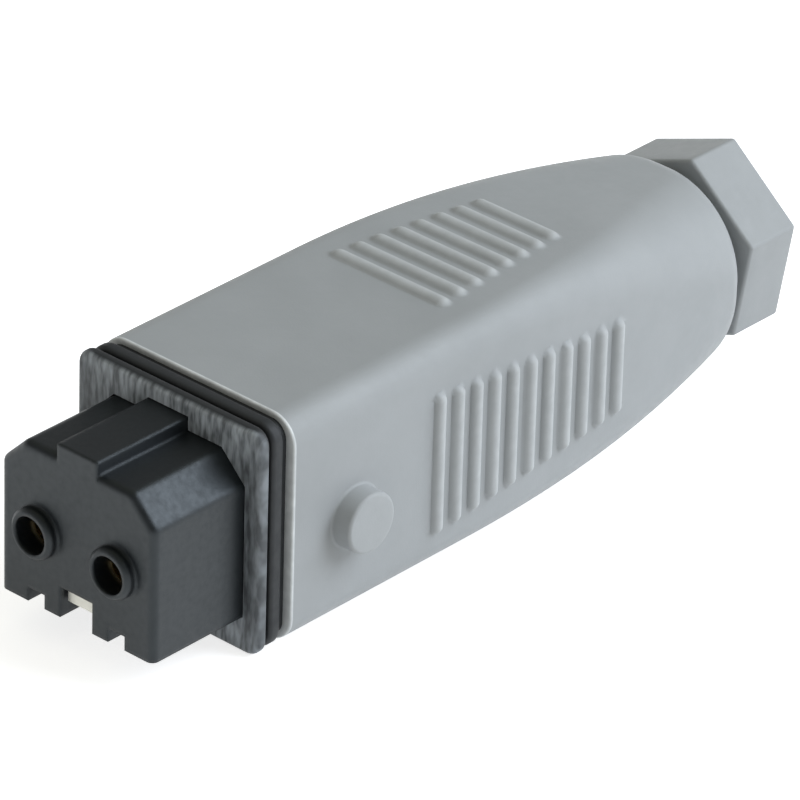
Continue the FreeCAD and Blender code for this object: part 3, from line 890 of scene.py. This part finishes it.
def dark_plastic(name, tone, rough):
    """Dark plastic: a slight cloud in the colour, an uneven gloss, soft edges and a very fine grain."""
    material, tree, shader, place = start_material(name)
    cloud = ranged(tree, noise(tree, place, black_clouds, detail=3.0), 0.0, 1.0)
    light = [part * cloud_gain for part in tone]
    tree.links.new(tinted(tree, cloud, tone, light), shader.inputs["Base Color"])
    gloss = noise(tree, place, black_gloss)
    uneven = ranged(tree, gloss, rough - gloss_spread, rough + gloss_spread)
    tree.links.new(uneven, shader.inputs["Roughness"])
    shader.inputs["Specular IOR Level"].default_value = black_shine
    shader.inputs["Specular Tint"].default_value = (*blue_sheen, 1.0)
    rounded = add(tree, "ShaderNodeBevel", Radius=edge_round)
    rounded.samples = edge_samples
    slow = noise(tree, place, black_waves, detail=1.0)
    waves = raised(tree, slow, black_wave_depth, rounded.outputs["Normal"])
    grain = raised(tree, noise(tree, place, black_grain), black_grain_depth, waves)
    tree.links.new(grain, shader.inputs["Normal"])
    return material


insert_black = dark_plastic("insert_black", tone=(0.006, 0.0075, 0.009), rough=0.42)
ring_black = dark_plastic("ring_black", tone=(0.05, 0.05, 0.05), rough=0.6)
print("two dark plastics ready")

# %% [markdown]
# ## Rubber
# Both seals are black rubber. Rubber moulded in a milled tool shows the cutter's fine streaks, so its
# noise is drawn out along the height. On the framed seal's front face a pale bloom follows the same
# streaks. The value stored with that seal keeps the bloom to its face and front edge, and the gland's
# seal, which has no such value, stays black.

# %% Rubber
black_rubber, pale_bloom = (0.02, 0.022, 0.024), (0.445, 0.48, 0.51)
streak_scale, streak_range, bloom_strength = (1500.0, 300.0, 330.0), (0.36, 0.66), (0.25, 1.0)
rubber_gloss, rubber_waves = 800.0, 420.0
rubber_rough, rubber_shine, rubber_depth = (0.5, 0.64), 0.4, 0.03 * mm


def seal_rubber():
    """Dark rubber with a pale bloom: the stored share of the face times soft upright streaks."""
    material, tree, shader, place = start_material("seal_rubber_finish")
    streaks = noise(tree, stretched(tree, place, streak_scale), 1.0)
    streaked = ranged(tree, streaks, *bloom_strength, *streak_range)
    bloom = combined(tree, "MULTIPLY", stored(tree, "front_face"), streaked)
    tree.links.new(tinted(tree, bloom, black_rubber, pale_bloom), shader.inputs["Base Color"])
    rough = ranged(tree, noise(tree, place, rubber_gloss), *rubber_rough)
    tree.links.new(rough, shader.inputs["Roughness"])
    shader.inputs["Specular IOR Level"].default_value = rubber_shine
    soft = raised(tree, noise(tree, place, rubber_waves, detail=1.0), rubber_depth)
    tree.links.new(raised(tree, streaks, rubber_depth, soft), shader.inputs["Normal"])
    return material


rubber = seal_rubber()
seal.data.materials.append(rubber)
print("rubber on the framed seal")

# %% [markdown]
# ## Metals
# Turned brass shows rings round its axis, tin is dull and mottled, and steel and zinc have a fine drawn
# grain. A picture of scratches could be laid over each, but all four are the same recipe: a metal whose
# gloss and height follow one noise, drawn out along the direction of the tool.

# %% Metals
metal_patches, dull_share, tool_spread = 300.0, 0.8, 0.08


def tooled_metal(name, tone, rough, scale, depth):
    """Metal with tool marks: one noise, stretched along each axis, drives its gloss and its height."""
    material, tree, shader, place = start_material(name)
    marks = noise(tree, stretched(tree, place, scale), 1.0, detail=4.0, rough=0.6)
    patches = ranged(tree, noise(tree, place, metal_patches, detail=3.0), 0.0, 1.0)
    dull = [part * dull_share for part in tone]
    tree.links.new(tinted(tree, patches, dull, tone), shader.inputs["Base Color"])
    shader.inputs["Metallic"].default_value = 1.0
    uneven = ranged(tree, marks, rough - tool_spread, rough + tool_spread)
    tree.links.new(uneven, shader.inputs["Roughness"])
    tree.links.new(raised(tree, marks, depth), shader.inputs["Normal"])
    return material


brass = tooled_metal("turned_brass", tone=(0.72, 0.55, 0.28), rough=0.3,
                     scale=(120.0, 5200.0, 120.0), depth=0.004 * mm)
tin = tooled_metal("dull_tin", tone=(0.72, 0.71, 0.65), rough=0.5,
                   scale=(1500.0, 1500.0, 1500.0), depth=0.008 * mm)
steel = tooled_metal("spring_steel_finish", tone=(0.56, 0.57, 0.58), rough=0.28,
                     scale=(240.0, 4200.0, 240.0), depth=0.003 * mm)
zinc = tooled_metal("zinc_plate", tone=(0.66, 0.67, 0.69), rough=0.34,
                    scale=(900.0, 900.0, 4200.0), depth=0.003 * mm)
print("four metals ready")

# %% [markdown]
# ## Paint the solids that stay
# The insert and its retainer, the gland's seal and ring and the metal pieces keep their solids. Each
# could be dressed by name, but each has one material slot, named in the record, so a table from slot to
# finish dresses them all.

# %% Paint
finishes = {
    "insert_plastic": insert_black, "ring_plastic": ring_black, "seal_rubber": rubber,
    "contact_metal": brass, "tinned_metal": tin, "spring_steel": steel, "screw_steel": zinc,
}
painted = 0
for part in frame["record"]["subparts"]:
    finish = finishes.get(part["material_slot"])
    if finish is not None:
        for slot in frame["nodes"][part["node"]].material_slots:
            slot.material = finish
            painted += 1
print(painted, "slots painted")
